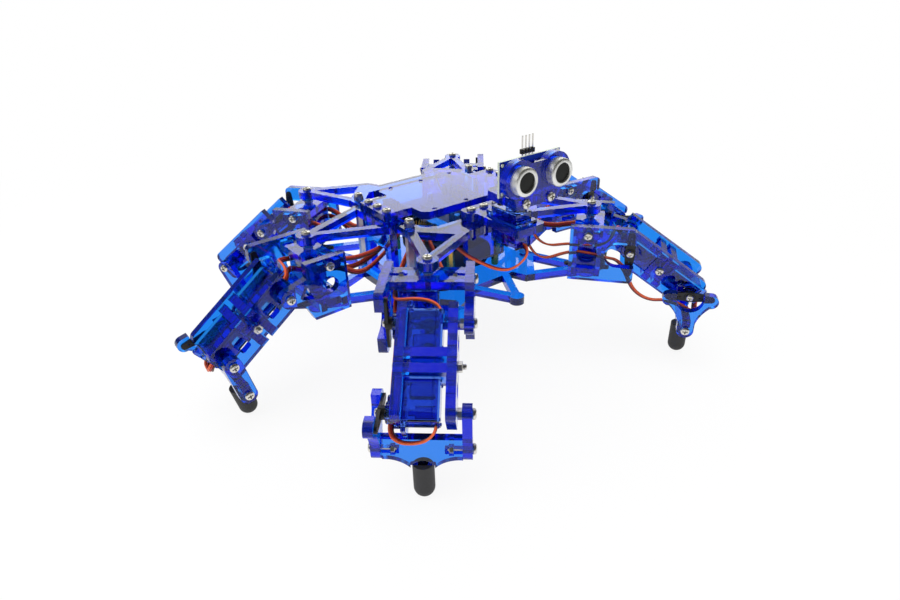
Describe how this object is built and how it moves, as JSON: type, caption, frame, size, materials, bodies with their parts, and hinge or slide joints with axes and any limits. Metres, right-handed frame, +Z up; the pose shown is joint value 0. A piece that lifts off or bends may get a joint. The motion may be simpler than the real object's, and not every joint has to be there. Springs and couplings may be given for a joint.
{
  "type": "six-legged walking robot",
  "caption": "Walking robot of clear blue acrylic sheet: star-shaped body, six servo-driven jointed legs with rubber feet, and a panning head with a round-eyed range sensor.",
  "frame": {"origin": "on the ground, at the middle of the space that the robot fills as it stands; the middle of its body is within a few millimetres of it", "axes": "+X forward, the way the head looks at rest; +Y to the robot's left; +Z up"},
  "size_m": [0.3081, 0.3655, 0.1608],
  "materials": {
    "blue_acrylic": "transparent, polished",
    "black_rubber": "matt",
    "servo_blue": "moulded",
    "screw_steel": "nickel plated",
    "board_green": "satin",
    "battery_black": "satin",
    "sensor_silver": "satin",
    "lead_orange": "satin"
  },
  "bodies": {
    "body": {"top_plate": "blue_acrylic", "lid_plate": "blue_acrylic", "bottom_plate": "blue_acrylic", "body_walls": "blue_acrylic", "body_fasteners": "screw_steel", "hip_pivots": "screw_steel", "controller_board": "board_green", "battery_pack": "battery_black", "head_servo": "servo_blue", "servo_leads": "lead_orange"},
    "head": {"head_frame": "blue_acrylic", "range_sensor": "sensor_silver"},
    "front_right_coxa": {"front_right_coxa_frame": "blue_acrylic", "front_right_hip_servo": "servo_blue", "front_right_knee_hardware": "screw_steel"},
    "front_right_thigh": {"front_right_thigh_frame": "blue_acrylic", "front_right_thigh_servos": "servo_blue"},
    "front_right_foot": {"front_right_foot_frame": "blue_acrylic", "front_right_ankle_hardware": "screw_steel", "front_right_foot_cap": "black_rubber"},
    "mid_right_coxa": {"mid_right_coxa_frame": "blue_acrylic", "mid_right_hip_servo": "servo_blue", "mid_right_knee_hardware": "screw_steel"},
    "mid_right_thigh": {"mid_right_thigh_frame": "blue_acrylic", "mid_right_thigh_servos": "servo_blue"},
    "mid_right_foot": {"mid_right_foot_frame": "blue_acrylic", "mid_right_ankle_hardware": "screw_steel", "mid_right_foot_cap": "black_rubber"},
    "rear_right_coxa": {"rear_right_coxa_frame": "blue_acrylic", "rear_right_hip_servo": "servo_blue", "rear_right_knee_hardware": "screw_steel"},
    "rear_right_thigh": {"rear_right_thigh_frame": "blue_acrylic", "rear_right_thigh_servos": "servo_blue"},
    "rear_right_foot": {"rear_right_foot_frame": "blue_acrylic", "rear_right_ankle_hardware": "screw_steel", "rear_right_foot_cap": "black_rubber"},
    "front_left_coxa": {"front_left_coxa_frame": "blue_acrylic", "front_left_hip_servo": "servo_blue", "front_left_knee_hardware": "screw_steel"},
    "front_left_thigh": {"front_left_thigh_frame": "blue_acrylic", "front_left_thigh_servos": "servo_blue"},
    "front_left_foot": {"front_left_foot_frame": "blue_acrylic", "front_left_ankle_hardware": "screw_steel", "front_left_foot_cap": "black_rubber"},
    "mid_left_coxa": {"mid_left_coxa_frame": "blue_acrylic", "mid_left_hip_servo": "servo_blue", "mid_left_knee_hardware": "screw_steel"},
    "mid_left_thigh": {"mid_left_thigh_frame": "blue_acrylic", "mid_left_thigh_servos": "servo_blue"},
    "mid_left_foot": {"mid_left_foot_frame": "blue_acrylic", "mid_left_ankle_hardware": "screw_steel", "mid_left_foot_cap": "black_rubber"},
    "rear_left_coxa": {"rear_left_coxa_frame": "blue_acrylic", "rear_left_hip_servo": "servo_blue", "rear_left_knee_hardware": "screw_steel"},
    "rear_left_thigh": {"rear_left_thigh_frame": "blue_acrylic", "rear_left_thigh_servos": "servo_blue"},
    "rear_left_foot": {"rear_left_foot_frame": "blue_acrylic", "rear_left_ankle_hardware": "screw_steel", "rear_left_foot_cap": "black_rubber"}
  },
  "joints": [
    {"name": "head_pan", "type": "hinge", "parent": "body", "child": "head", "pos_m": [0.0734, 0.0014, 0.124], "axis": [0, 0, 1], "range_deg": [-70, 70]},
    {"name": "front_right_hip", "type": "hinge", "parent": "body", "child": "front_right_coxa", "pos_m": [0.0734, -0.0636, 0.104], "axis": [0, 0, 1], "range_deg": [-30, 30], "deforming": ["servo_leads"]},
    {"name": "front_right_knee", "type": "hinge", "parent": "front_right_coxa", "child": "front_right_thigh", "pos_m": [0.09378, -0.0807, 0.0795], "axis": [0.6428, 0.766, 0], "range_deg": [-94.25, 45.75]},
    {"name": "front_right_ankle", "type": "hinge", "parent": "front_right_thigh", "child": "front_right_foot", "pos_m": [0.12417, -0.1062, 0.05248], "axis": [0.6428, 0.766, 0], "range_deg": [-54.25, 45.75]},
    {"name": "mid_right_hip", "type": "hinge", "parent": "body", "child": "mid_right_coxa", "pos_m": [-0.0016, -0.0996, 0.104], "axis": [0, 0, 1], "range_deg": [-32.4, 27.6]},
    {"name": "mid_right_knee", "type": "hinge", "parent": "mid_right_coxa", "child": "mid_right_thigh", "pos_m": [-0.00049, -0.12618, 0.0795], "axis": [0.9991, 0.0419, 0], "range_deg": [-95.8, 44.2]},
    {"name": "mid_right_ankle", "type": "hinge", "parent": "mid_right_thigh", "child": "mid_right_foot", "pos_m": [0.00114, -0.16508, 0.05143], "axis": [0.9991, 0.0419, 0], "range_deg": [-66.5, 33.49]},
    {"name": "rear_right_hip", "type": "hinge", "parent": "body", "child": "rear_right_coxa", "pos_m": [-0.0766, -0.0636, 0.104], "axis": [0, 0, 1], "range_deg": [-29, 31]},
    {"name": "rear_right_knee", "type": "hinge", "parent": "rear_right_coxa", "child": "rear_right_thigh", "pos_m": [-0.09727, -0.08034, 0.0795], "axis": [0.6293, -0.7771, 0], "range_deg": [-100.3, 39.7]},
    {"name": "rear_right_ankle", "type": "hinge", "parent": "rear_right_thigh", "child": "rear_right_foot", "pos_m": [-0.12572, -0.10338, 0.04845], "axis": [0.6293, -0.7771, 0], "range_deg": [-73.7, 26.3]},
    {"name": "front_left_hip", "type": "hinge", "parent": "body", "child": "front_left_coxa", "pos_m": [0.0734, 0.0664, 0.104], "axis": [0, 0, 1], "range_deg": [-29.2, 30.8]},
    {"name": "front_left_knee", "type": "hinge", "parent": "front_left_coxa", "child": "front_left_thigh", "pos_m": [0.09401, 0.08321, 0.0795], "axis": [-0.632, 0.7749, 0], "range_deg": [-94.23, 45.77]},
    {"name": "front_left_ankle", "type": "hinge", "parent": "front_left_thigh", "child": "front_left_foot", "pos_m": [0.12477, 0.10829, 0.0525], "axis": [-0.632, 0.7749, 0], "range_deg": [-55.77, 44.23]},
    {"name": "mid_left_hip", "type": "hinge", "parent": "body", "child": "mid_left_coxa", "pos_m": [-0.0016, 0.1024, 0.104], "axis": [0, 0, 1], "range_deg": [-24, 36]},
    {"name": "mid_left_knee", "type": "hinge", "parent": "mid_left_coxa", "child": "mid_left_thigh", "pos_m": [0.00118, 0.12885, 0.0795], "axis": [-0.9945, 0.1045, 0], "range_deg": [-94.49, 45.51]},
    {"name": "mid_left_ankle", "type": "hinge", "parent": "mid_left_thigh", "child": "mid_left_foot", "pos_m": [0.00532, 0.1682, 0.05232], "axis": [-0.9945, 0.1045, 0], "range_deg": [-60.51, 39.49]},
    {"name": "rear_left_hip", "type": "hinge", "parent": "body", "child": "rear_left_coxa", "pos_m": [-0.0766, 0.0664, 0.104], "axis": [0, 0, 1], "range_deg": [-31, 29]},
    {"name": "rear_left_knee", "type": "hinge", "parent": "rear_left_coxa", "child": "rear_left_thigh", "pos_m": [-0.09727, 0.08314, 0.0795], "axis": [-0.6293, -0.7771, 0], "range_deg": [-94.49, 45.51]},
    {"name": "rear_left_ankle", "type": "hinge", "parent": "rear_left_thigh", "child": "rear_left_foot", "pos_m": [-0.12802, 0.10804, 0.05232], "axis": [-0.6293, -0.7771, 0], "range_deg": [-60.51, 39.49]}
  ]
}
